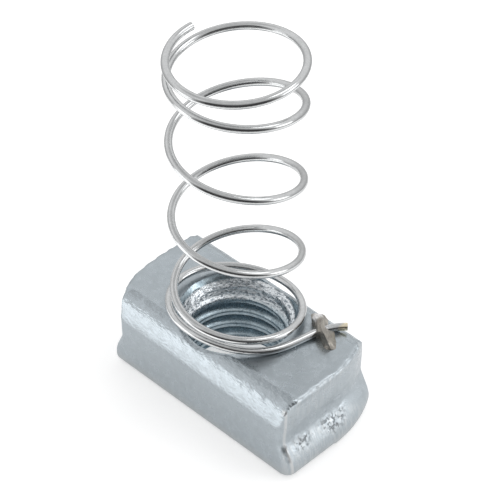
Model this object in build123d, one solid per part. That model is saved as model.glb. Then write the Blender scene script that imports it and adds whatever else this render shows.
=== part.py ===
from build123d import *
import os
from math import atan2, cos, degrees, hypot, radians, sin

# Strut spring nut: a tapped, cold-formed steel nut that a coil spring holds against
# the lips of a strut channel. Millimetres, +Z up. The origin is on the hole's axis,
# in the plane of the gripping face that the nut lies on.

# ---- nut body ----
LENGTH = 34.2           # between the two ends, at the top
WIDTH = 18.8            # between the two long sides
THICKNESS = 12.7
END_SHIFT = 0.45        # the hole is punched this far off the middle of the blank
CORNER = 1.8            # radius of each upright corner, at the fullest part of the ends
CORNER_REACH = 0.2      # the corner radius is struck from this far beyond the ends
ROLL_OUT = 3.0          # long top edges: how far the rolled edge reaches in
ROLL_DOWN = 4.1         # long top edges: how far it reaches down to the crease
ROLL_LEAN = 0.2         # slope of the rolled edge where it leaves the crease
ROLL_BREAK = 0.06       # and where it meets the flat top
END_ROLL = 1.5          # top edge of the two ends
BASE_ROUND = 1.1        # lower edge all round
WAIST_HEIGHT = 5.6      # the ends bulge below this height, where the grooves were pressed
WAIST_DIP = 0.15        # the waist is this much inside the top of the end
WAIST_LEAN = 0.3        # how steeply the bulge runs out into the waist
BULGE = 1.15            # how far the ends bulge out
BULGE_HEIGHT = 1.5      # height of the fullest part of the bulge
FOOT_ROUND = 1.3        # the bulge curls under by this much

# ---- gripping grooves in the underside ----
GROOVE_CENTRE = 12.3    # from the middle of the blank, over the channel's lips
GROOVE_WIDTH = 3.8
GROOVE_DEPTH = 2.0
GROOVE_MARGIN = 1.8     # metal left at each long side
TOOTH_PITCH = 1.7
TOOTH_HEIGHT = 0.8

# ---- tapped hole, 5/8-11 ----
THREAD_MINOR_RADIUS = 6.7
SINK_RADIUS = 8.35      # bevel at the mouth, outer edge
RIM_RADIUS = 7.75       # bevel at the mouth, inner edge
SINK_DEPTH = 0.75
MOUTH_RADIUS = 7.6      # the punched mouth narrows to this
MOUTH_DEPTH = 3.2       # at this depth,
LEAD_DEPTH = 4.4        # and tapers in to the thread at this one
EXIT_BEVEL = 0.9

# ---- spring wire ----
WIRE = 1.1
BASE_INSET = 0.3        # centre line of the seated turn, in from the nut's long sides,
BASE_OVAL = 0.8         # before it is pulled oval by this much, along the nut
BASE_OVAL_ANGLE = 16.0
BASE_TILT = 0.8         # and rocks up by this much on its near side
BASE_TILT_ANGLE = -130.0
OPEN_DRAW = 0.48        # the open turns start this much narrower than the seated one
TOP_INSET = 0.6         # centre line of the last turn, in from the long sides
SEATED_PITCH = 0.37
OPEN_PITCH = 12.3
TOP_PITCH = 0.7
SEATED_TURNS = 0.75
RISE_TURNS = 0.55       # the pitch opens over this part of a turn
OPEN_TURNS = 2.3
FALL_TURNS = 1.42       # and closes over this one
TOP_TURNS = 0.46
LEAN = 0.55             # open turns sit askew by this much at each side
LEAN_ANGLE = -43.0
TOP_LEAN = 0.6          # and the last turn by this much
TOP_LEAN_ANGLE = 98.0
POINTS_A_TURN = 12
SEAT_GAP = 0.03         # under the seated turn

# ---- wire tail and lug; places are (along, out) from where the seated turn ends ----
TAIL_ANGLE = -13.0      # where the seated turn leaves its circle
TAIL_BEND = (6.24, 0.6)
TAIL_END = (10.64, 1.89)
GRIP_GAP = 0.02         # room left around the wire inside the lug
TAIL_SHARE = 0.035      # part of the wire's length that the lug may grip
LUG_FOOT = (6.56, 3.82)  # the lug is a tongue of the nut's own metal, folded over the wire
LUG_TIP = (8.52, -1.52)
LUG_WIDTH = 2.3
LUG_HEIGHT = 1.75
LUG_RIDGE = 0.4         # width of the flat along its top
LUG_SKEW = 0.25         # its top lies this much to one side
LUG_ROOT = 0.6          # it is rooted this deep in the top face
LUG_EDGE = 0.35         # height of its sides at the edge

TOP = THICKNESS
HALF = LENGTH / 2
SIDE = WIDTH / 2
BASE_RADIUS = SIDE - BASE_INSET   # centre lines of the seated turn,
OPEN_RADIUS = BASE_RADIUS - OPEN_DRAW   # of the open turns at their foot
TOP_RADIUS = SIDE - TOP_INSET     # and of the last turn


def end_profile():
    """Half of the lengthwise section: rolled top edge, waist, bulge and rounded foot."""
    full = HALF + BULGE
    with BuildLine() as line:
        Line((0, 0), (full - FOOT_ROUND, 0))
        Spline((full - FOOT_ROUND, 0), (full, BULGE_HEIGHT), tangents=[(1, 0), (0, 1)])
        Spline(
            (full, BULGE_HEIGHT), (HALF - WAIST_DIP, WAIST_HEIGHT),
            tangents=[(0, 1), (-WAIST_LEAN, 1)],
        )
        Line((HALF - WAIST_DIP, WAIST_HEIGHT), (HALF, TOP - END_ROLL))
        Spline(
            (HALF, TOP - END_ROLL), (HALF - END_ROLL, TOP),
            tangents=[(0, 1), (-1, ROLL_BREAK)],
        )
        Polyline((HALF - END_ROLL, TOP), (0, TOP), (0, 0))
    return line.line


def side_section():
    """Crosswise section: flat sides, a crease, and a broad rolled edge above it."""
    with BuildSketch(Plane.YZ) as sketch:
        with BuildLine():
            Line((0, 0), (SIDE - BASE_ROUND, 0))
            RadiusArc((SIDE - BASE_ROUND, 0), (SIDE, BASE_ROUND), -BASE_ROUND)
            Line((SIDE, BASE_ROUND), (SIDE, TOP - ROLL_DOWN))
            Spline(
                (SIDE, TOP - ROLL_DOWN), (SIDE - ROLL_OUT, TOP),
                tangents=[(-ROLL_LEAN, 1), (-1, ROLL_BREAK)],
            )
            Polyline((SIDE - ROLL_OUT, TOP), (0, TOP), (0, 0))
        make_face()
        mirror(about=Plane.YZ)
    return sketch.sketch


def quarter(x, y):
    """The quarter of space on this side of the middle of the blank, in X and in Y."""
    reach = LENGTH
    return Pos(x * reach / 2, y * reach / 2, TOP / 2) * Box(reach, reach, TOP * 2)


def blank():
    """The bar end shape: two opposite corners turned to a cam, two left square."""
    outline = make_face(Plane.XZ * end_profile())
    cam = revolve(outline, Axis.Z, 360)
    straight = extrude(outline, amount=SIDE + 1, both=True)
    straight += mirror(straight, about=Plane.YZ)
    shape = (cam & quarter(1, 1)) + (cam & quarter(-1, -1))
    shape += (straight & quarter(1, -1)) + (straight & quarter(-1, 1))
    bar = extrude(side_section(), amount=LENGTH, both=True)
    plan = RectangleRounded(2 * (HALF + BULGE + CORNER_REACH), WIDTH, CORNER)
    return shape & bar & extrude(plan, amount=TOP)


def groove():
    """One gripping groove with the teeth left standing on its floor."""
    long = WIDTH - 2 * GROOVE_MARGIN
    cut = Pos(0, 0, GROOVE_DEPTH / 2) * Box(GROOVE_WIDTH, long, GROOVE_DEPTH)
    count = round(long / TOOTH_PITCH)
    pitch = long / count
    with BuildSketch(Plane.YZ) as tooth:
        Polygon((-pitch / 2, 0), (pitch / 2, 0), (0, -TOOTH_HEIGHT), align=None)
    ridge = extrude(tooth.sketch, amount=GROOVE_WIDTH / 2, both=True)
    teeth = [
        Pos(0, (i - (count - 1) / 2) * pitch, GROOVE_DEPTH) * ridge
        for i in range(count)
    ]
    return cut - teeth


def tapped_hole():
    """Bore at the thread's minor radius, with its tapering mouth and exit bevel."""
    sink = TOP - SINK_DEPTH
    with BuildSketch(Plane.XZ) as half:
        Polygon(
            (0, -1), (THREAD_MINOR_RADIUS + EXIT_BEVEL, -1),
            (THREAD_MINOR_RADIUS + EXIT_BEVEL, 0), (THREAD_MINOR_RADIUS, EXIT_BEVEL),
            (THREAD_MINOR_RADIUS, TOP - LEAD_DEPTH), (MOUTH_RADIUS, TOP - MOUTH_DEPTH),
            (RIM_RADIUS, sink),
            (SINK_RADIUS, TOP), (SINK_RADIUS, TOP + 1), (0, TOP + 1),
            align=None,
        )
    return revolve(half.sketch, Axis.Z, 360)


def tail_point(along, out):
    """A place on the top face, from where the seated turn leaves its circle."""
    angle = radians(TAIL_ANGLE)
    reach = BASE_RADIUS + out
    return (
        reach * cos(angle) - along * sin(angle),
        reach * sin(angle) + along * cos(angle),
    )


def lug():
    """The folded tongue, as a ridge that falls from its tip to its foot."""
    foot, tip = tail_point(*LUG_FOOT), tail_point(*LUG_TIP)
    dx, dy = tip[0] - foot[0], tip[1] - foot[1]
    long = hypot(dx, dy)
    place = Location((foot[0], foot[1], TOP), (0, 0, degrees(atan2(dy, dx))))
    with BuildSketch(Plane.XZ) as side:
        with BuildLine():
            Spline(
                (0, 0), (long * 0.4, LUG_HEIGHT * 0.85), (long * 0.7, LUG_HEIGHT),
                (long, LUG_HEIGHT * 0.9),
            )
            Polyline(
                (long, LUG_HEIGHT * 0.9), (long - LUG_EDGE, -LUG_ROOT),
                (LUG_EDGE, -LUG_ROOT), (0, 0),
            )
        make_face()
    slab = extrude(side.sketch, amount=LUG_WIDTH, both=True)
    with BuildSketch(Plane.YZ) as across:
        low, high, peak = LUG_WIDTH / 2, LUG_RIDGE / 2, LUG_HEIGHT + LUG_EDGE
        Polygon(
            (-low, -LUG_ROOT), (low, -LUG_ROOT), (low, LUG_EDGE),
            (LUG_SKEW + high, peak), (LUG_SKEW - high, peak), (-low, LUG_EDGE),
            align=None,
        )
    roof = extrude(across.sketch, amount=2 * long, both=True)
    return place * (slab & roof)


def height_on_spring(turn):
    """Height of the centre line above the seated turn, and how open the coil is there."""
    steps = [
        (SEATED_TURNS, SEATED_PITCH, SEATED_PITCH),
        (RISE_TURNS, SEATED_PITCH, OPEN_PITCH),
        (OPEN_TURNS, OPEN_PITCH, OPEN_PITCH),
        (FALL_TURNS, OPEN_PITCH, TOP_PITCH),
        (TOP_TURNS, TOP_PITCH, TOP_PITCH),
    ]
    height, pitch = 0.0, SEATED_PITCH
    for length, first, last in steps:
        part = min(max(turn, 0.0), length)
        pitch = first + (last - first) * part / length
        height += (first + pitch) / 2 * part
        turn -= length
        if turn <= 0:
            break
    return height, (pitch - SEATED_PITCH) / (OPEN_PITCH - SEATED_PITCH)


def seated_share(turn):
    """How much of the seated turn's own shape is left: 1 at its start, 0 in the open coil."""
    left = 1 - min(turn / (SEATED_TURNS + RISE_TURNS), 1)
    return left * left * (3 - 2 * left)


def coil_point(turn, total):
    """A point on the centre line; the coil climbs clockwise, so it is left-handed."""
    angle = radians(TAIL_ANGLE - 360 * turn)
    tilt, lean = radians(BASE_TILT_ANGLE), radians(LEAN_ANGLE)
    height, open_share = height_on_spring(turn)
    seated = seated_share(turn)
    foot = SEATED_TURNS + RISE_TURNS
    share = max(turn - foot, 0) / (total - foot)
    radius = OPEN_RADIUS + (TOP_RADIUS - OPEN_RADIUS) * share
    oval = BASE_OVAL * cos(2 * (angle - radians(BASE_OVAL_ANGLE)))
    radius += seated * (BASE_RADIUS - OPEN_RADIUS + oval)
    askew = BASE_TILT * seated * (cos(angle - tilt) - cos(radians(TAIL_ANGLE) - tilt))
    if turn < foot + OPEN_TURNS:
        askew += LEAN * (1 - seated) * cos(angle - lean)
    else:
        askew += LEAN * open_share * cos(angle - lean)
        askew += TOP_LEAN * (1 - open_share) * cos(angle - radians(TOP_LEAN_ANGLE))
    seat = TOP + WIRE / 2 + SEAT_GAP
    return (radius * cos(angle), radius * sin(angle), seat + height + askew)


def wire_path():
    """Tail, seated turn, open turns and the closing turn, as one smooth curve."""
    total = SEATED_TURNS + RISE_TURNS + OPEN_TURNS + FALL_TURNS + TOP_TURNS
    seat = TOP + WIRE / 2 + SEAT_GAP
    tail = [(*tail_point(*TAIL_END), seat), (*tail_point(*TAIL_BEND), seat)]
    count = round(total * POINTS_A_TURN)
    coil = [coil_point(total * i / count, total) for i in range(count + 1)]
    return Spline(*tail, *coil)


def wire(path, radius):
    start = Plane(origin=path @ 0, z_dir=path % 0)
    return sweep(start * Circle(radius), path, is_frenet=False)


def main():
    os.makedirs("parts", exist_ok=True)
    path = wire_path()
    spring = wire(path, WIRE / 2)

    body = blank()
    for side in (-1, 1):
        body -= Pos(side * GROOVE_CENTRE, 0, 0) * groove()
    body = Pos(END_SHIFT, 0, 0) * body
    body -= tapped_hole()
    tail = path.trim(0, TAIL_SHARE)
    body = (body + lug()) - wire(tail, WIRE / 2 + GRIP_GAP)

    for name, shape in {"nut_body": body, "spring": spring}.items():
        export_step(shape, f"parts/{name}.step")
        print(name, len(shape.solids()), "solid", round(shape.volume, 1), "mm3",
              [round(v, 2) for v in shape.bounding_box().size])


main()
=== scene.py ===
# %% [markdown]
# # A strut spring nut
# This nut is a short bar of steel, pressed and tapped, that slides inside a strut channel.
# A tall coil spring stands on its top face and pushes it against the channel's lips. The
# end of the spring's wire is held by a lug, a tongue of the nut's own metal that a chisel
# raised and folded over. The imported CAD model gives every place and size, so this script
# only adds what CAD leaves plain: the thread, the rough lug, the worked edges and the finishes.

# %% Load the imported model
from math import atan2, copysign, cos, degrees, hypot, pi, radians, sin

import bmesh
import bpy
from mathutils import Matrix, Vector, noise


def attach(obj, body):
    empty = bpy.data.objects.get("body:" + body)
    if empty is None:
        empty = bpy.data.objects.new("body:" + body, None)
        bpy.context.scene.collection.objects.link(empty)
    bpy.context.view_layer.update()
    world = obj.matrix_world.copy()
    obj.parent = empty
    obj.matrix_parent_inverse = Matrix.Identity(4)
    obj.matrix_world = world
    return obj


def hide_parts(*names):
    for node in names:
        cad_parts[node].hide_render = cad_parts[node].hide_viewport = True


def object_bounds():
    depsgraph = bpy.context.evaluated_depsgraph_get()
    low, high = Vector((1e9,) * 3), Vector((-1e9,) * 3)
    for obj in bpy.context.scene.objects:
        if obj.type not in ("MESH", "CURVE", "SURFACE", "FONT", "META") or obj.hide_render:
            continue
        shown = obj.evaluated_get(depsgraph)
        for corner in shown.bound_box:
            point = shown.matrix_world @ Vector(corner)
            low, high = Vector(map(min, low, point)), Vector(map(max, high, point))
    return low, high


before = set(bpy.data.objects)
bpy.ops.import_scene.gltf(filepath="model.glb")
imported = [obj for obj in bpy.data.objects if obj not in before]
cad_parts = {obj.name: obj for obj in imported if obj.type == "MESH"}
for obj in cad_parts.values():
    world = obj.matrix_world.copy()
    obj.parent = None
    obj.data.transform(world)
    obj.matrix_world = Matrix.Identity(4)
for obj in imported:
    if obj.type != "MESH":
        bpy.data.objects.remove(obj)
cad_box = [list(corner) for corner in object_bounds()]

# %% [markdown]
# Sizes on a small steel part are easiest to think of in millimetres, and Blender works in
# metres. One constant turns one into the other, and the sizes that several pieces share are
# named once here, as the maker's drawing would name them. They are the CAD model's, apart
# from the thread's roots and the funnel of the punched mouth, which are added here.

# %% Shared sizes
MM = 0.001
TOP = 12.7                  # height of the nut's top face
HALF = 17.1                 # half the length between the ends, at the top
END_SHIFT = 0.45            # the hole is this far off the middle of the bar
END_ROLL = 1.5              # radius of the ends' top edges in CAD
SIDE = round(cad_box[1][1] / MM, 3)     # half the width, from the CAD model's box
ROLL_OUT = 3.0              # reach of the long rolled edges, inwards
ROLL_DOWN = 4.1             # and downwards
THREAD_PITCH = 25.4 / 11
HOLE_MINOR = 6.7            # radius at the thread's crests
HOLE_MAJOR = 7.94           # radius at its roots
SINK_RADIUS = 8.35          # outer edge of the bevel at the mouth
SINK_DEPTH = 0.75           # depth of the bevel
RIM_RADIUS = 7.75           # its inner edge
MOUTH_DEPTH = 1.8           # the punched mouth funnels in down to here
MOUTH_RADIUS = 6.98         # where it has this radius
LEAD_DEPTH = 4.2            # and by here it has tapered to the thread
EXIT_BEVEL = 0.9            # bevel where the hole comes out underneath
print("half width", SIDE, "mm, thread pitch", round(THREAD_PITCH, 3), "mm")

# %% [markdown]
# Each piece here is drawn as a bmesh, Blender's editable mesh, and some get a modifier that
# has to be made real before the next step. Both jobs come up more than once, so each is a
# function.


# %% Helpers for making pieces
def make_object(name, bm, material, smooth_angle=None):
    """Turns a finished bmesh into an object at the origin and closes the bmesh."""
    mesh = bpy.data.meshes.new(name)
    bm.to_mesh(mesh)
    bm.free()
    piece = bpy.data.objects.new(name, mesh)
    bpy.context.scene.collection.objects.link(piece)
    mesh.materials.append(material)
    mesh.shade_smooth()
    if smooth_angle is not None:
        mesh.set_sharp_from_angle(angle=radians(smooth_angle))
    return piece


def apply_modifiers(piece):
    """Bakes a piece's modifiers into its mesh."""
    graph = bpy.context.evaluated_depsgraph_get()
    mesh = bpy.data.meshes.new_from_object(piece.evaluated_get(graph))
    old = piece.data
    piece.modifiers.clear()
    piece.data = mesh
    bpy.data.meshes.remove(old)


def triangles(piece):
    """How many triangles a piece has."""
    piece.data.calc_loop_triangles()
    return len(piece.data.loop_triangles)


# %% [markdown]
# The camera stands where a catalogue photographer would put it: above the nut, looking down
# at about forty degrees across its near corner, from far enough away that the long lens
# keeps the spring almost straight.

# %% Camera
eye = Vector((141.59, -140.72, 194.77)) * MM
gaze = Vector((-0.53421, 0.53994, -0.65045))
camera = bpy.data.objects.new("camera", bpy.data.cameras.new("camera"))
bpy.context.scene.collection.objects.link(camera)
camera.data.lens = 142.23
camera.data.sensor_width = 36
camera.data.clip_start = 0.01
camera.location = eye
camera.rotation_euler = gaze.to_track_quat("-Z", "Y").to_euler()
bpy.context.scene.camera = camera
print("camera at", [round(v, 4) for v in eye])

# %% [markdown]
# Everything that has a colour or a brightness here is built from a few shader nodes: the
# floor, the room and every finish. So one small function adds a node, sets its values and
# links whatever sockets it is given, and a few shorter ones cover the steps that repeat.


# %% Node helpers
def put(tree, kind, inputs=None, **settings):
    """Adds a shader node; an input is a value, or another node's socket to link from."""
    node = tree.nodes.new("ShaderNode" + kind)
    for name, value in settings.items():
        setattr(node, name, value)
    for name, value in (inputs or {}).items():
        if isinstance(value, bpy.types.NodeSocket):
            tree.links.new(value, node.inputs[name])
        else:
            node.inputs[name].default_value = value
    return node


def maths(tree, operation, *values):
    """One Math node, given its values or sockets in order."""
    return put(tree, "Math", dict(enumerate(values)), operation=operation).outputs[0]


def times(tree, first, *others):
    """The product of two or more values or masks."""
    for other in others:
        first = maths(tree, "MULTIPLY", first, other)
    return first


def blend_colour(tree, share, low, high):
    """Mixes two colours, or colour sockets, by a mask."""
    return put(tree, "Mix", {0: share, 6: low, 7: high}, data_type="RGBA").outputs[2]


def ramp_between(tree, value, low, high, low_gives=0.0, high_gives=1.0, kind="SMOOTHSTEP"):
    """Maps a value from one range to another, smoothly unless told, and clamps it."""
    return put(tree, "MapRange", {0: value, 1: low, 2: high, 3: low_gives, 4: high_gives},
               interpolation_type=kind).outputs[0]


def noise_at(tree, place, scale, detail, stretch=None, roughness=0.5):
    """Noise at a place, which may be stretched first along X, Y and Z."""
    if stretch:
        place = put(tree, "Mapping", {"Vector": place, "Scale": stretch}).outputs[0]
    return put(tree, "TexNoise", {"Vector": place, "Scale": scale, "Detail": detail,
                                  "Roughness": roughness}).outputs[0]


def new_material(name):
    """An empty material and its node tree."""
    material = bpy.data.materials.new(name)
    material.use_nodes = True
    material.node_tree.nodes.clear()
    return material, material.node_tree


# %% [markdown]
# Bright metal shows what stands around it, so the room matters as much as the lamps. The
# floor is white paper. It glows a little to the camera, so that the background is white, and
# it keeps the nut's shadow. In the metal it shows a painted glow: dim close to the nut, as
# painted shade, and bright farther out on both sides, as painted light where the lamps
# stand. That painted glow is what lights up the rolled edge and the swelling end.

# %% Floor
FLOOR_RADIUS = 0.11
FLOOR_DROP = 0.00002        # just clear of the nut, so that the two never share a plane
PAPER = (0.80, 0.80, 0.80, 1)
WHITE = (1, 1, 1, 1)
GLOW_TO_CAMERA = 0.50
GLOW_NEAR, GLOW_ASIDE = 0.36, 1.15      # the paper's painted glow in the metal: painted shade near the nut, painted light aside

floor_material, tree = new_material("studio_floor")
path = put(tree, "LightPath").outputs
axes = put(tree, "SeparateXYZ", {0: put(tree, "TexCoord").outputs["Object"]}).outputs
left_of_nut = ramp_between(tree, axes["Y"], -0.018, -0.027, kind="LINEAR")
right_of_nut = ramp_between(tree, axes["X"], 0.030, 0.042, 0.0, 0.6, kind="LINEAR")
toward_camera = maths(tree, "SUBTRACT", axes["X"], axes["Y"])
aside = times(tree, maths(tree, "MAXIMUM", left_of_nut, right_of_nut),
              ramp_between(tree, toward_camera, 0.058, 0.042, kind="LINEAR"))
# Painted light: seen in reflections, the paper glows dimly near the nut, as painted shade, and
# brightly aside.
painted_glow_in_metal = times(tree, maths(tree, "MAXIMUM", path["Is Glossy Ray"], path["Is Transmission Ray"]),
                 ramp_between(tree, aside, 0.0, 1.0, GLOW_NEAR, GLOW_ASIDE, kind="LINEAR"))
strength = maths(tree, "MULTIPLY_ADD", path["Is Camera Ray"], GLOW_TO_CAMERA, painted_glow_in_metal)
paper = put(tree, "BsdfDiffuse", {"Color": PAPER})
glow = put(tree, "Emission", {"Color": WHITE, "Strength": strength})
both = put(tree, "AddShader", {0: paper.outputs[0], 1: glow.outputs[0]})
put(tree, "OutputMaterial", {"Surface": both.outputs[0]})

bm = bmesh.new()
bmesh.ops.create_circle(bm, cap_ends=True, segments=96, radius=FLOOR_RADIUS)
bmesh.ops.translate(bm, vec=(0, 0, -FLOOR_DROP), verts=bm.verts)
floor = make_object("floor", bm, floor_material)
print("floor", floor.dimensions)

# %% [markdown]
# The room is a photographer's tent: pale all round and brighter overhead, except on the
# camera's side, where it is dark up to about thirty degrees above level. That dark side is
# what draws the thin black line along each turn of the polished wire. Each side is a list of
# brightnesses up the wall, from straight down at 0 to straight up at 1. The camera itself
# sees plain white.

# %% Room
DARK_SIDE = [(0.25, 0.12), (0.36, 0.07), (0.70, 0.07), (0.82, 0.30), (0.90, 0.60), (1.0, 0.75)]
LIGHT_SIDE = [(0.30, 0.50), (0.50, 0.62), (0.72, 0.97), (0.86, 0.97), (0.93, 0.62), (1.0, 0.75)]
CAMERA_SIDE = (0.707, -0.707, 0)


def wall_colour(tree, height, bands):
    """Greys up the wall, by height from 0 to 1."""
    dial = put(tree, "ValToRGB", {0: height})
    elements = dial.color_ramp.elements
    while len(elements) < len(bands):
        elements.new(0.5)
    for element, (place, level) in zip(elements, bands):
        element.position = place
        element.color = (level, level, level, 1)
    return dial.outputs["Color"]


world = bpy.data.worlds.new("tent")
bpy.context.scene.world = world
world.use_nodes = True
tree = world.node_tree
tree.nodes.clear()
direction = put(tree, "TexCoord").outputs["Generated"]
split = put(tree, "SeparateXYZ", {0: direction}).outputs
height = maths(tree, "MULTIPLY_ADD", split["Z"], 0.5, 0.5)
facing = put(tree, "VectorMath", {0: direction, 1: CAMERA_SIDE}, operation="DOT_PRODUCT")
tent = blend_colour(tree, ramp_between(tree, facing.outputs["Value"], 0.35, 0.75),
                    wall_colour(tree, height, LIGHT_SIDE), wall_colour(tree, height, DARK_SIDE))
room = put(tree, "Background", {"Color": tent})
seen = put(tree, "Background", {"Color": WHITE})
mix = put(tree, "MixShader", {0: put(tree, "LightPath").outputs["Is Camera Ray"],
                              1: room.outputs[0], 2: seen.outputs[0]})
put(tree, "OutputWorld", {"Surface": mix.outputs[0]})
print("room", len(tree.nodes), "nodes")

# %% [markdown]
# Three soft round lamps light the tent. The left one stands low and shines along the floor
# onto the nut's long side, the right one lights the near end and the wall of the hole that
# faces it, and the high one puts the long highlights on the wire.


# %% Lamps
def softbox(name, place, size, power):
    """A round area lamp that faces the middle of the nut."""
    light = bpy.data.lights.new(name, "AREA")
    light.shape = "DISK"
    light.size = size
    light.energy = power
    lamp = bpy.data.objects.new(name, light)
    bpy.context.scene.collection.objects.link(lamp)
    lamp.location = place
    aim = Vector((0, 0, 0.02)) - lamp.location
    lamp.rotation_euler = aim.to_track_quat("-Z", "Y").to_euler()


softbox("left_lamp", (-0.41, -0.61, -0.05), 0.44, 0.58)
softbox("top_lamp", (0.22, 0.30, 0.62), 0.36, 0.50)
softbox("right_lamp", (0.58, 0.40, 0.14), 0.42, 0.62)
bpy.context.scene.view_settings.view_transform = "Standard"

# %% [markdown]
# The mottle, grain and uneven gloss of worked metal are one effect, on the plated nut, in the
# thread, on the sheared lug and on the wire. So they are one shader node group, placed in each
# material with its own values. It reads Object coordinates, so that the pattern stays put on
# the metal at its real scale.


# %% The metal skin group
def metal_skin_group():
    """Mottle and grain in object space: gives a colour, a roughness and a normal."""
    tree = bpy.data.node_groups.new("metal_skin", "ShaderNodeTree")
    given_names = {"Pale": "Color", "Deep": "Color", "Mottle Size": "Float",
                   "Grain Size": "Float", "Smoothest": "Float", "Roughest": "Float",
                   "Relief": "Float"}
    for name, kind in given_names.items():
        tree.interface.new_socket(name=name, in_out="INPUT", socket_type="NodeSocket" + kind)
    for name, kind in (("Color", "Color"), ("Roughness", "Float"), ("Normal", "Vector")):
        tree.interface.new_socket(name=name, in_out="OUTPUT", socket_type="NodeSocket" + kind)
    given = tree.nodes.new("NodeGroupInput").outputs
    place = put(tree, "TexCoord").outputs["Object"]

    def noise_of(size, detail):
        scale = maths(tree, "DIVIDE", 1 / MM, size)
        return noise_at(tree, place, scale, detail, roughness=0.6)

    mottle, grain = noise_of(given["Mottle Size"], 4.0), noise_of(given["Grain Size"], 2.0)
    both = maths(tree, "ADD", times(tree, mottle, 0.55), times(tree, grain, 0.45))
    share = ramp_between(tree, both, 0.36, 0.64)
    rough = ramp_between(tree, both, 0.62, 0.38, given["Smoothest"], given["Roughest"],
                         kind="LINEAR")
    bump = put(tree, "Bump", {"Strength": given["Relief"], "Distance": 0.03 * MM,
                              "Height": both})
    leave = tree.nodes.new("NodeGroupOutput").inputs
    tree.links.new(blend_colour(tree, share, given["Deep"], given["Pale"]), leave["Color"])
    tree.links.new(rough, leave["Roughness"])
    tree.links.new(bump.outputs[0], leave["Normal"])
    return tree


metal_skin = metal_skin_group()
print("group", metal_skin.name, len(metal_skin.nodes), "nodes")

# %% [markdown]
# A finish then takes three steps. It places the group with its own values, makes masks from
# the place on the part, in millimetres from the frame's origin, and gives the result to a
# Principled shader. That shader stays in the material itself and not in a group, because an
# export looks for it there.


# %% Steps of a finish
def skin_in(tree, pale, deep, mottle, grain, smoothest, roughest, relief):
    """Places the metal skin group in a material, with sizes in millimetres."""
    skin = tree.nodes.new("ShaderNodeGroup")
    skin.node_tree = metal_skin
    values = ((*pale, 1), (*deep, 1), mottle, grain, smoothest, roughest, relief)
    for socket, value in zip(skin.inputs, values):
        socket.default_value = value
    return skin.outputs


def place_masks(tree):
    """Object position in millimetres, and its X, Y and Z."""
    place = put(tree, "TexCoord").outputs["Object"]
    scaled = put(tree, "VectorMath", {0: place, 1: (1 / MM,) * 3}, operation="MULTIPLY")
    split = put(tree, "SeparateXYZ", {0: scaled.outputs[0]}).outputs
    return scaled.outputs[0], split[0], split[1], split[2]


def finish_with(tree, colour, rough, normal, metallic):
    """The shader itself, which stays in the material."""
    shader = put(tree, "BsdfPrincipled", {"Base Color": colour, "Roughness": rough,
                                          "Normal": normal, "Metallic": metallic})
    put(tree, "OutputMaterial", {"Surface": shader.outputs[0]})


# %% [markdown]
# The nut is plated with zinc, a pale blue-grey metal with a fine mottle. The plating went on
# after the bar was pressed and cropped, so it follows what those left: drawn streaks down the
# cropped ends, two rough, pitted patches where each end was struck, dents in the rolled edges,
# which are also the glossiest, and a faint warm tint low down where the plating is thin. On
# top of these comes painted light: a painted highlight down the rounded upright corners of the
# ends, painted shade in the pits and painted glints in the struck patches. Each is a mask from
# the place on the nut, most of them multiplied by noise.

# %% Zinc plate: the masks
STRUCK = [(-5.8, 5.2, 2.3), (0.4, 5.4, 3.6)]   # struck patches on the ends: Y, Z and reach
CORNER_HIGHLIGHT_AT = 8.55            # how far from the middle the painted highlight down the corners stands
ZINC_MOTTLE, ZINC_GRAIN = 1.2, 0.16


def near_patches(tree, across, up):
    """1 inside the struck patches of the ends and 0 outside."""
    mask = 0.0
    for y, z, reach in STRUCK:
        far = put(tree, "CombineXYZ", {0: 0.0, 1: maths(tree, "SUBTRACT", across, y),
                                       2: maths(tree, "SUBTRACT", up, z)}).outputs[0]
        gap = put(tree, "VectorMath", {0: far}, operation="LENGTH").outputs["Value"]
        mask = maths(tree, "MAXIMUM", mask, ramp_between(tree, gap, reach, reach * 0.45))
    return mask


zinc, tree = new_material("zinc_plate")
skin = skin_in(tree, (0.472, 0.522, 0.557), (0.425, 0.47, 0.50), ZINC_MOTTLE, ZINC_GRAIN,
               0.24, 0.40, 0.25)
place, along, across, up = place_masks(tree)
from_middle = maths(tree, "ABSOLUTE", maths(tree, "SUBTRACT", along, END_SHIFT))
from_axis = maths(tree, "ABSOLUTE", across)

at_end = ramp_between(tree, from_middle, 16.7, 17.3)
streak = noise_at(tree, place, 1.0, 5.0, stretch=(1.6, 3.2, 0.30))
streaks = times(tree, at_end, ramp_between(tree, streak, 0.42, 0.62))
patches = times(tree, near_patches(tree, across, up), at_end)
# Painted shade and painted glints: the pits of the struck patches are coloured near black and the
# flecks bright; the pits are also real relief and dullness.
speckle = noise_at(tree, place, 1.9, 2.0, roughness=0.6)
pits_and_painted_shade = times(tree, patches, ramp_between(tree, speckle, 0.47, 0.40))
painted_glints = times(tree, patches, ramp_between(tree, speckle, 0.54, 0.60))
rolled = times(tree, ramp_between(tree, from_axis, 6.0, 7.0), ramp_between(tree, up, 8.0, 9.4))
dents = noise_at(tree, place, 1.5, 4.0, stretch=(0.9, 1.8, 1.8))
# Painted highlight: a light line down the rounded upright corners where the ends were cropped
# square.
square_corner = ramp_between(tree, times(tree, along, across), -40.0, -90.0)
off_highlight = maths(tree, "ABSOLUTE", maths(tree, "SUBTRACT", from_axis, CORNER_HIGHLIGHT_AT))
painted_corner_highlight = times(tree, ramp_between(tree, from_middle, 16.0, 16.7), square_corner,
                  ramp_between(tree, off_highlight, 0.30, 0.10))
low = ramp_between(tree, up, 2.6, 0.4)
print("zinc_plate", len(tree.nodes), "nodes for its masks")

# %% [markdown]
# The same masks change the colour, the relief and the gloss together, as they do on real
# metal. The tints are laid on in order, each over the ones before. The ruts and pits go into
# a bump, because they are finer than the mesh. The pits end up duller than the plain plate,
# and the rolled edges glossier.

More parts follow.
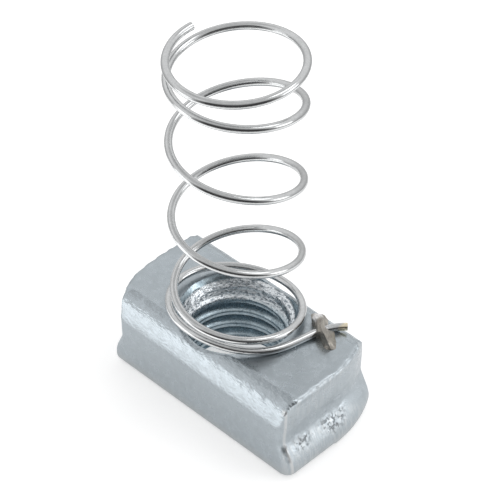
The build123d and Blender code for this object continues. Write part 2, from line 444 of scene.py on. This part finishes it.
# %% Zinc plate: colour, relief and gloss
TINTS = [(streaks, 0.40, (0.62, 0.64, 0.65, 1)),      # mask, how much of it shows, and colour
         (painted_corner_highlight, 0.35, (0.80, 0.78, 0.76, 1)),
         (low, 0.45, (0.50, 0.50, 0.49, 1)),
         (pits_and_painted_shade, 0.75, (0.16, 0.17, 0.18, 1)),
         (painted_glints, 0.12, (0.86, 0.88, 0.90, 1))]
RUT_DEPTH, PIT_RELIEF, DENT_RELIEF = 0.4, -1.4, 4.0
PIT_DULL, ROLL_GLOSS = 0.15, 0.13

colour = skin["Color"]
for mask, most, tint in TINTS:
    colour = blend_colour(tree, times(tree, mask, most), colour, tint)
ruts = maths(tree, "ADD", times(tree, streaks, RUT_DEPTH), times(tree, pits_and_painted_shade, PIT_RELIEF))
ruts = maths(tree, "ADD", ruts, times(tree, dents, rolled, DENT_RELIEF))
normal = put(tree, "Bump", {"Strength": 0.5, "Distance": 0.05 * MM, "Height": ruts,
                            "Normal": skin["Normal"]}).outputs[0]
gloss = maths(tree, "ADD", skin["Roughness"], times(tree, pits_and_painted_shade, PIT_DULL))
gloss = maths(tree, "SUBTRACT", gloss, times(tree, rolled, ROLL_GLOSS))
finish_with(tree, colour, gloss, normal, 0.92)
print("zinc_plate", len(tree.nodes), "nodes")

# %% [markdown]
# The cut thread is the same zinc, but the cutter left it smoother and the plating bath hardly
# reached it, so it is darker, a little bluer and more uneven. Above the thread the punch tore
# the mouth of the hole into fine level scratches, coloured bright where they stand proud, as a
# painted highlight, and dark in between, as painted shade, and a mask from the height keeps
# them between the bevel and the thread.

# %% Zinc in the thread
thread_zinc, tree = new_material("thread_zinc")
skin = skin_in(tree, (0.52, 0.61, 0.66), (0.30, 0.38, 0.43), ZINC_MOTTLE, ZINC_GRAIN,
               0.16, 0.34, 0.5)
place, _, _, up = place_masks(tree)
mouth = times(tree, ramp_between(tree, up, TOP - 4.3, TOP - 3.4),
              ramp_between(tree, up, TOP - 0.70, TOP - 0.85))
tear_relief_and_painted_light = noise_at(tree, place, 2.0, 4.0, stretch=(1.0, 1.0, 3.2))
# Painted highlight and painted shade: the torn scratches are coloured bright and dark by the same
# noise as their relief.
torn = blend_colour(tree, ramp_between(tree, tear_relief_and_painted_light, 0.38, 0.50), (0.30, 0.34, 0.38, 1),
                    (0.88, 0.92, 0.95, 1))
colour = blend_colour(tree, mouth, skin["Color"], torn)
normal = put(tree, "Bump", {"Strength": times(tree, mouth, 0.38), "Distance": 0.25 * MM,
                            "Height": tear_relief_and_painted_light, "Normal": skin["Normal"]}).outputs[0]
finish_with(tree, colour, skin["Roughness"], normal, 0.95)
print("thread_zinc", len(tree.nodes), "nodes")

# %% [markdown]
# The lug was sheared up out of the top face and hammered down over the wire, which broke its
# plating. Its flanks are dull brown-grey steel, and its tip, where the hammer landed, is
# crushed bright. The place along the lug and the height divide the two.

# %% Sheared steel
sheared, tree = new_material("sheared_steel")
skin = skin_in(tree, (0.46, 0.43, 0.38), (0.27, 0.255, 0.235), 0.9, 0.22, 0.34, 0.55, 0.5)
_, along, _, up = place_masks(tree)
crushed = times(tree, ramp_between(tree, along, 10.3, 9.6),
                ramp_between(tree, up, TOP + 1.15, TOP + 1.45))
colour = blend_colour(tree, crushed, skin["Color"], (0.86, 0.85, 0.85, 1))
gloss = maths(tree, "SUBTRACT", skin["Roughness"], times(tree, crushed, 0.18))
finish_with(tree, colour, gloss, skin["Normal"], 0.85)
print("sheared_steel", len(tree.nodes), "nodes")

# %% [markdown]
# The spring is drawn wire with a bright plating, smooth enough to mirror the room. Drawing
# leaves only a very fine grain. The cropped end of the tail shows warmer, cream-coloured
# metal, because the plating thins out over the cut. The spring itself is the CAD model's own
# piece, so it only gets its material here.

# %% Bright wire
bright_wire, tree = new_material("bright_wire")
skin = skin_in(tree, (0.63, 0.64, 0.645), (0.55, 0.56, 0.565), 2.2, 0.3, 0.10, 0.18, 0.08)
_, along, _, up = place_masks(tree)
tail_end = times(tree, ramp_between(tree, along, 12.4, 12.9),
                 ramp_between(tree, up, TOP + 2.5, TOP + 2.0))
colour = blend_colour(tree, tail_end, skin["Color"], (0.86, 0.78, 0.60, 1))
finish_with(tree, colour, skin["Roughness"], skin["Normal"], 1.0)
spring_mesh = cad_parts["spring"].data
spring_mesh.materials.clear()
spring_mesh.materials.append(bright_wire)
print("spring wears", [material.name for material in spring_mesh.materials])


# %% [markdown]
# ## The worked nut
# CAD gives the nut's true form with clean edges. The real one was pressed and cropped, so its
# ends have a sharp, torn edge at the top instead of a neat radius, and its long rolled edges
# carry the marks of the tool. The plan is to start from a copy of the CAD mesh, cut the lug
# off it, give the whole skin one even fine mesh with a voxel remesh, push that mesh about by
# small amounts, as a press would, and tap the hole last, as on the real part.
#
# The CAD lug goes first, because a rougher one takes its place. A plane just under the top
# face cuts it off, the open top is filled again, and the top face is lifted back to its
# height. The same cut trims the tap later, so it is a function.


# %% Helpers for a bmesh
def open_edges(bm):
    """The edges round any gap in the surface; a closed solid has none."""
    return [e for e in bm.edges if e.is_boundary]


def everything(bm):
    """All points, edges and faces, as most bmesh operators want them."""
    return bm.verts[:] + bm.edges[:] + bm.faces[:]


def cut_away(bm, z, up_or_down):
    """Removes what lies above (1) or below (-1) a height, and leaves the cut open."""
    bmesh.ops.bisect_plane(bm, geom=everything(bm), dist=1e-5, plane_co=(0, 0, z),
                           plane_no=(0, 0, up_or_down), clear_outer=True)


# %% Cut the CAD lug away
LUG_CUT = TOP - 0.06        # the lug is cut off just below the top face
MERGE = 0.002               # points closer than this are one

bm = bmesh.new()
bm.from_mesh(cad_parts["nut_body"].data)
bmesh.ops.scale(bm, vec=(1 / MM,) * 3, verts=bm.verts)
bmesh.ops.remove_doubles(bm, verts=bm.verts, dist=MERGE)
cut_away(bm, LUG_CUT, 1)
bmesh.ops.triangle_fill(bm, edges=open_edges(bm), use_beauty=True, normal=(0, 0, 1))
for v in bm.verts:
    if v.co.z > LUG_CUT - 0.001:
        v.co.z = TOP
bmesh.ops.recalc_face_normals(bm, faces=bm.faces)
print("open edges", len(open_edges(bm)), "volume", round(bm.calc_volume(signed=True), 1), "mm3")

# %% [markdown]
# The CAD mesh has long thin triangles, which can't be dented. A voxel remesh wraps the nut in
# a skin of small even squares instead, fine enough for the marks and still cheap to render.

# %% Give it one even skin
SKIN_SIZE = 0.22            # size of the skin's voxels

worked_nut = make_object("worked_nut", bm, zinc)
even_skin = worked_nut.modifiers.new("even_skin", "REMESH")
even_skin.mode = "VOXEL"
even_skin.voxel_size = SKIN_SIZE
even_skin.use_smooth_shade = True
apply_modifiers(worked_nut)
print("skin points", len(worked_nut.data.vertices))


# %% [markdown]
# Now the press marks. Each is a short function that says how far it moves a point of the
# skin, and the moves are added up. They share three helpers: a smooth step, a smooth bump and
# a noise. The noise comes from mathutils and gives the same values every run.


# %% Smooth steps and noise
def rise(value, low, high):
    """0 below low, 1 above high, and smooth between."""
    share = min(max((value - low) / (high - low), 0.0), 1.0)
    return share * share * (3 - 2 * share)


def bell(value, middle, reach):
    """1 at the middle, 0 beyond its reach."""
    return rise(reach - abs(value - middle), 0.0, reach)


def wander(point, size, shift=0.0):
    """Smooth noise from -1 to 1 with features of this size in millimetres."""
    return noise.noise(point / size + Vector((shift, shift * 1.7, -shift)))


# %% [markdown]
# First the edges. The soft CAD radius along the top of each end is filled out to a sharp edge
# with a torn burr, as a cropping tool leaves it, and the upright cropped edges and the long
# lower edges get a small radius. An end swells low down, so how far it reaches is measured
# from the mesh at every level, and the rounding follows that.

# %% Marks on the edges
CORNER = 1.3                # radius of the upright edges where the bar was cropped square
FOOT = 0.8                  # radius of the long sides' lower edges
LEVEL = 0.5                 # the ends' reach is measured at heights this far apart
MIDDLE_WIDTH = 7            # and this far to each side of the middle
END_FILL = 0.30             # how far the ends' top edges are filled out
FILL_TURN = 38              # most of it this many degrees up round the edge
BURR = 0.16                 # height of the torn burr
BURR_TURN, BURR_REACH = 34, 20      # where round the edge it stands, and how wide, in degrees


def measure_ends(points):
    """How far the ends reach from the middle of the bar, at each level."""
    reach_at = {}
    for point in points:
        if abs(point.y) <= MIDDLE_WIDTH:
            level = round(point.z / LEVEL)
            reach_at[level] = max(reach_at.get(level, 0.0), abs(point.x - END_SHIFT))
    top_level = round(TOP / LEVEL)
    reach_at[top_level + 1] = reach_at[top_level]
    return reach_at


reach_at = measure_ends([v.co for v in worked_nut.data.vertices])
print("ends reach", {level * LEVEL: round(reach_at[level], 2) for level in (0, 8, 16, 24)})


def end_reach(z):
    """The ends' reach at a height, between the measured levels."""
    level = z / LEVEL
    below, above = reach_at[int(level)], reach_at[int(level) + 1]
    return below + (above - below) * (level % 1)


def corner_move(x, y, z):
    """Rounds the upright cropped edges and the ends' lower edges beside them."""
    over = Vector((max(abs(x) - end_reach(z) + CORNER, 0), max(abs(y) - SIDE + CORNER, 0),
                   max(CORNER - z, 0)))
    if over.x > 0 and over.length > CORNER:
        lean = over.normalized() * (over.length - CORNER)
        return Vector((-copysign(lean.x, x), -copysign(lean.y, y), lean.z))
    return Vector()


def foot_move(x, y, z):
    """Rounds the lower edges of the long sides."""
    over_y, over_z = abs(y) - SIDE + FOOT, FOOT - z
    if over_y > 0 and over_z > 0 and hypot(over_y, over_z) > FOOT and abs(x) < HALF - CORNER:
        return Vector((0, -copysign(over_y, y), over_z)) * (1 - FOOT / hypot(over_y, over_z))
    return Vector()


def burr_move(point, y, out, outward):
    """Fills the ends' top edges out to a torn, nearly square edge."""
    over, above = out - (HALF - END_ROLL), point.z - (TOP - END_ROLL)
    if over <= 0 or above <= 0:
        return Vector()
    inner = rise(SIDE - ROLL_OUT * 0.55 - abs(y), 0.0, 1.2)
    turn = degrees(atan2(above, over))
    fill = bell(turn, FILL_TURN, FILL_TURN) * END_FILL * inner
    torn = bell(turn, BURR_TURN, BURR_REACH) * inner * BURR * (0.35 + wander(point, 0.9, 3.0))
    return (outward * cos(radians(turn)) + Vector((0, 0, sin(radians(turn))))) * (fill + torn)


# %% [markdown]
# Then the faces. The bar was cropped a little off square, so its far end stands in and the
# foot of its near end stands out. The long rolled edges get shallow hammered facets, and the
# ends are drawn in above their swelling and pitted where they were struck.

# %% Marks on the faces
CROP_FROM, CROP_FULL = HALF - 5, HALF - 1   # the off-square crop sets in between these
FAR_CROP = 0.22             # how far the far end stands in
NEAR_FOOT = 0.20            # how far the near end's foot stands out
FOOT_HEIGHT = 4.5
HAMMER = 0.035              # depth of the facets on the rolled edges
WAIST_DRAW = 0.18           # how far the ends are drawn in
WAIST_AT, WAIST_REACH = 6.4, 2.8    # at this height, and this far up and down from it
PIT_DEPTH = 0.12


def crop_move(x, z):
    """Moves the far end in and the near end's foot out."""
    far = FAR_CROP * rise(-x, CROP_FROM, CROP_FULL)
    foot = rise(FOOT_HEIGHT - z, 0.0, FOOT_HEIGHT - 1)
    return Vector((far + NEAR_FOOT * rise(x, CROP_FROM, CROP_FULL) * foot, 0, 0))


def hammer_move(point, normal, y):
    """Shallow facets on the long rolled edges."""
    roll = rise(abs(y), SIDE - ROLL_OUT, SIDE - ROLL_OUT + 0.8)
    roll *= rise(point.z, TOP - ROLL_DOWN - 0.6, TOP - ROLL_DOWN + 0.9)
    if roll > 0:
        return normal * roll * HAMMER * (wander(point, 1.7) + 0.5 * wander(point, 0.8, 5.0))
    return Vector()


def end_face_move(point, normal, x, y, outward):
    """Draws the ends in a little above their swelling, and leaves the struck patches pitted."""
    end = rise(abs(normal.x), 0.5, 0.9) * rise(abs(x), HALF - 1.2, HALF - 0.4)
    if end <= 0:
        return Vector()
    move = -outward * end * WAIST_DRAW * bell(point.z, WAIST_AT, WAIST_REACH)
    for place_y, place_z, reach in STRUCK:
        gap = hypot(y - place_y, point.z - place_z)
        if gap < reach:
            pit = wander(point, 0.55, 9.0) + 0.6 * wander(point, 0.3, 2.0)
            move += normal * PIT_DEPTH * rise(reach - gap, 0.0, reach * 0.5) * min(pit, 0.15)
    return move


# %% [markdown]
# Last, all of it is pressed into the skin. The mouth of the CAD hole closes up a little, so
# that the tap can cut it afresh, and every other point takes the sum of its marks and a very
# slight wave, without which flat metal looks like glass. The top face and the underside are
# kept where they are, because the spring stands on one and the floor is under the other.

# %% Press the nut
MOUTH_CLOSE = 1.0           # how far the CAD mouth is drawn in
CLOSE_FROM, CLOSE_FULL = 5.2, 4.4   # it sets in between these depths
WAVE = 0.008


def press_marks(point, normal):
    """How far the press and the cropping tool move this point of the skin."""
    radius = hypot(point.x, point.y)
    if radius < SINK_RADIUS + 0.05 and point.z < TOP - 0.02:
        inward = Vector((-point.x, -point.y, 0)) / radius
        return inward * MOUTH_CLOSE * rise(point.z, TOP - CLOSE_FROM, TOP - CLOSE_FULL)
    x, y, z = point.x - END_SHIFT, point.y, point.z
    if x * y > 0:                           # the two corners that the nut turns on are round
        out = hypot(x, y)
        outward = Vector((x, y, 0)) / max(out, 1e-6)
        move = Vector()
    else:
        out = abs(x)
        outward = Vector((x / abs(x or 1), 0, 0))
        move = corner_move(x, y, z)
    move += foot_move(x, y, z) + burr_move(point, y, out, outward) + crop_move(x, z)
    move += hammer_move(point, normal, y) + end_face_move(point, normal, x, y, outward)
    return move + normal * WAVE * wander(point, 4.5, 1.0)


bm = bmesh.new()
bm.from_mesh(worked_nut.data)
bm.normal_update()
moves = [press_marks(v.co, v.normal) for v in bm.verts]
for v, move in zip(bm.verts, moves):
    v.co += move
    v.co.z = min(v.co.z, TOP) if v.co.z > TOP - 0.01 else max(v.co.z, 0.0)
bm.to_mesh(worked_nut.data)
bm.free()
print("largest press mark", round(max(move.length for move in moves), 3), "mm")

# %% [markdown]
# ## The thread
# A 5/8-11 thread is a 60 degree groove with flat crests and roots, wound at 2.309 mm a turn.
# Here it is cut as it is in the works, with a tap: a solid whose skin is the thread, which a
# Boolean takes out of the nut. A spin that also climbs makes the tap: the profile of several
# turns, drawn once, is turned round the axis while it rises by one pitch, so that its end
# meets the next tooth of its start. The mouth of the hole was punched wider before it was
# tapped, so near the top the radius is never less than the mouth's, and the thread fades into
# it. The faces that the tap cuts keep the tap's own material, the zinc in the thread.

# %% The tap
CREST, ROOT = 0.577, 0.289  # widths of the flat crest and the flat root
FLANK = (THREAD_PITCH - CREST - ROOT) / 2
THREAD_START = 0.9          # height of one crest where the spin starts
THREAD_STEPS = 200          # steps round one turn
ROWS_A_PITCH = 15           # points along the profile of one turn
TURNS = 8                   # turns drawn, from one pitch below the underside
TAP_CLEAR = 0.03            # the tap cuts this much into the CAD bore all round
MOUTH_TEAR = 0.22           # how deep the punch tore the mouth
BORE = [(-2, SINK_RADIUS), (0, SINK_RADIUS), (SINK_DEPTH, RIM_RADIUS),
        (MOUTH_DEPTH, MOUTH_RADIUS), (LEAD_DEPTH, HOLE_MINOR), (TOP - EXIT_BEVEL, HOLE_MINOR),
        (TOP + 2, HOLE_MINOR + EXIT_BEVEL + 2)]     # depth and radius of the punched hole


def thread_radius(z):
    """The tooth's profile along the axis."""
    place = (z - THREAD_START) % THREAD_PITCH
    place = min(place, THREAD_PITCH - place) - CREST / 2
    return HOLE_MINOR + (HOLE_MAJOR - HOLE_MINOR) * min(max(place / FLANK, 0.0), 1.0)


def bore_radius(depth):
    """The punched hole before tapping, between the places in BORE."""
    for (d0, r0), (d1, r1) in zip(BORE, BORE[1:]):
        if depth <= d1:
            return r0 + (r1 - r0) * (depth - d0) / (d1 - d0)
    return BORE[-1][1]


bm = bmesh.new()
heights = [THREAD_PITCH * (i / ROWS_A_PITCH - 1) for i in range(ROWS_A_PITCH * TURNS)]
tip = bm.verts.new((thread_radius(heights[0]), 0, heights[0]))
for z in heights[1:]:
    tip = bmesh.ops.extrude_vert_indiv(bm, verts=[tip])["verts"][0]
    tip.co = (thread_radius(z), 0, z)
bmesh.ops.spin(bm, geom=bm.verts[:] + bm.edges[:], cent=(0, 0, 0), axis=(0, 0, 1),
               angle=2 * pi, steps=THREAD_STEPS, dvec=(0, 0, THREAD_PITCH / THREAD_STEPS),
               use_merge=False, use_duplicate=False)
bmesh.ops.remove_doubles(bm, verts=bm.verts, dist=2 * MERGE)
for v in bm.verts:
    reach, depth = v.co.xy.length, TOP - v.co.z
    torn = MOUTH_TEAR * rise(LEAD_DEPTH - depth, 0.0, 0.8) * rise(depth, 0.3, 1.0)
    punched = bore_radius(depth) + torn * (0.5 + 0.5 * wander(v.co, 0.8, 4.0))
    v.co.xy *= (max(reach, punched) + TAP_CLEAR) / reach
for z, up_or_down in ((TOP + 1, 1), (-0.7, -1)):
    cut_away(bm, z, up_or_down)
    bmesh.ops.contextual_create(bm, geom=open_edges(bm))
bmesh.ops.triangulate(bm, faces=[f for f in bm.faces if len(f.verts) > 4])
bmesh.ops.recalc_face_normals(bm, faces=bm.faces)
print("tap: open edges", len(open_edges(bm)), "volume", round(bm.calc_volume(signed=True), 1))
tap = make_object("tap", bm, thread_zinc)

# %% [markdown]
# The Boolean takes the tap out of the nut. Its manifold solver is quick and exact when both
# solids are closed, and with its materials set to transfer, the cut faces bring the tap's
# material along. Points that fall almost together are merged afterwards, the nut is brought
# back to metres, and its crisp edges are marked sharp, so that the flanks of the thread don't
# shade into each other.

# %% Tap the hole
SHARP_NUT = 40              # edges of the nut turned by more than this are sharp

cut = worked_nut.modifiers.new("tap", "BOOLEAN")
cut.operation = "DIFFERENCE"
cut.solver = "MANIFOLD"
cut.object = tap
cut.material_mode = "TRANSFER"
apply_modifiers(worked_nut)
bpy.data.objects.remove(tap)
bm = bmesh.new()
bm.from_mesh(worked_nut.data)
bmesh.ops.remove_doubles(bm, verts=bm.verts, dist=MERGE)
bmesh.ops.scale(bm, vec=(MM,) * 3, verts=bm.verts)
print("tapped nut: open edges", len(open_edges(bm)))
bm.to_mesh(worked_nut.data)
bm.free()
worked_nut.data.shade_smooth()
worked_nut.data.set_sharp_from_angle(angle=radians(SHARP_NUT))
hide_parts("nut_body")
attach(worked_nut, "root")
print("worked_nut", triangles(worked_nut), "triangles",
      [material.name for material in worked_nut.data.materials])

# %% [markdown]
# ## The lug
# A chisel raised a tongue of steel beside the hole and a blow folded it over the wire. It is a
# small crumpled roof: a ridge that climbs from its foot, dull flanks on both sides, and a
# crushed tip. A grid gives it its rows, each row is set to the height and lean it has there,
# and its edge is drawn down and in under itself, so that it is a solid piece of metal.

# %% Lug
SHARP_LUG = 24
CRUMPLE = 0.10              # how far noise pushes the lug's surface about
SKIRT_DRAW = 0.12           # share by which its edge is drawn in under it
SKIRT_DEPTH = 0.3           # how far it is sunk in the nut
# each row: left edge, left shoulder, ridge, right shoulder, right edge, in millimetres, with
# the heights above the top face
LUG_ROWS = [
    [(13.36, 2.87, -0.15), (13.80, 3.08, 0.00), (14.23, 3.40, 0.08),
     (14.51, 3.79, 0.00), (14.77, 4.27, -0.15)],
    [(12.23, 3.63, -0.10), (12.93, 3.41, 0.55), (13.62, 3.43, 1.05),
     (13.80, 4.14, 0.60), (13.72, 5.10, -0.10)],
    [(11.46, 3.97, 0.00), (12.18, 3.60, 0.90), (13.06, 3.48, 1.70),
     (13.12, 4.36, 1.10), (12.87, 5.78, -0.10)],
    [(11.21, 3.61, 0.90), (11.70, 3.61, 1.50), (12.25, 3.75, 1.95),
     (12.43, 4.41, 1.35), (12.30, 6.07, 0.35)],
    [(10.50, 4.33, 1.15), (10.87, 4.29, 1.60), (11.49, 4.30, 2.00),
     (11.32, 5.20, 1.30), (10.86, 6.48, 0.25)],
    [(9.96, 4.82, 1.25), (10.26, 4.94, 1.70), (10.76, 5.05, 1.95),
     (10.59, 5.94, 1.35), (10.09, 7.29, 0.30)],
    [(8.96, 5.12, 1.20), (9.61, 5.20, 1.75), (10.03, 5.67, 1.80),
     (9.94, 6.49, 1.30), (9.73, 7.29, 0.50)],
    [(8.17, 5.91, 1.00), (8.63, 6.10, 1.30), (9.12, 6.37, 1.40),
     (9.46, 6.70, 1.35), (9.57, 7.11, 0.90)],
]
COLUMNS = len(LUG_ROWS[0])

bm = bmesh.new()
bmesh.ops.create_grid(bm, x_segments=COLUMNS - 1, y_segments=len(LUG_ROWS) - 1, size=1)
for v in bm.verts:
    column = round((v.co.x + 1) / 2 * (COLUMNS - 1))
    row = round((v.co.y + 1) / 2 * (len(LUG_ROWS) - 1))
    x, y, z = LUG_ROWS[row][column]
    v.co = (x, y, TOP + z)
bmesh.ops.subdivide_edges(bm, edges=bm.edges, cuts=2, use_grid_fill=True)
for v in bm.verts:
    if not v.is_boundary:
        v.co += v.normal * CRUMPLE * wander(v.co, 0.6, 7.0)
made = bmesh.ops.extrude_edge_only(bm, edges=open_edges(bm))["geom"]
skirt = [item for item in made if isinstance(item, bmesh.types.BMVert)]
middle = sum((v.co for v in skirt), Vector()) / len(skirt)
for v in skirt:
    v.co.xy += (middle.xy - v.co.xy) * SKIRT_DRAW
    v.co.z = TOP - SKIRT_DEPTH
bmesh.ops.contextual_create(bm, geom=open_edges(bm))
bmesh.ops.recalc_face_normals(bm, faces=bm.faces)
print("lug: open edges", len(open_edges(bm)))
bmesh.ops.scale(bm, vec=(MM,) * 3, verts=bm.verts)
lug = make_object("lug", bm, sheared, smooth_angle=SHARP_LUG)
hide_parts("nut_body")
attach(lug, "root")
print("lug", triangles(lug), "triangles")
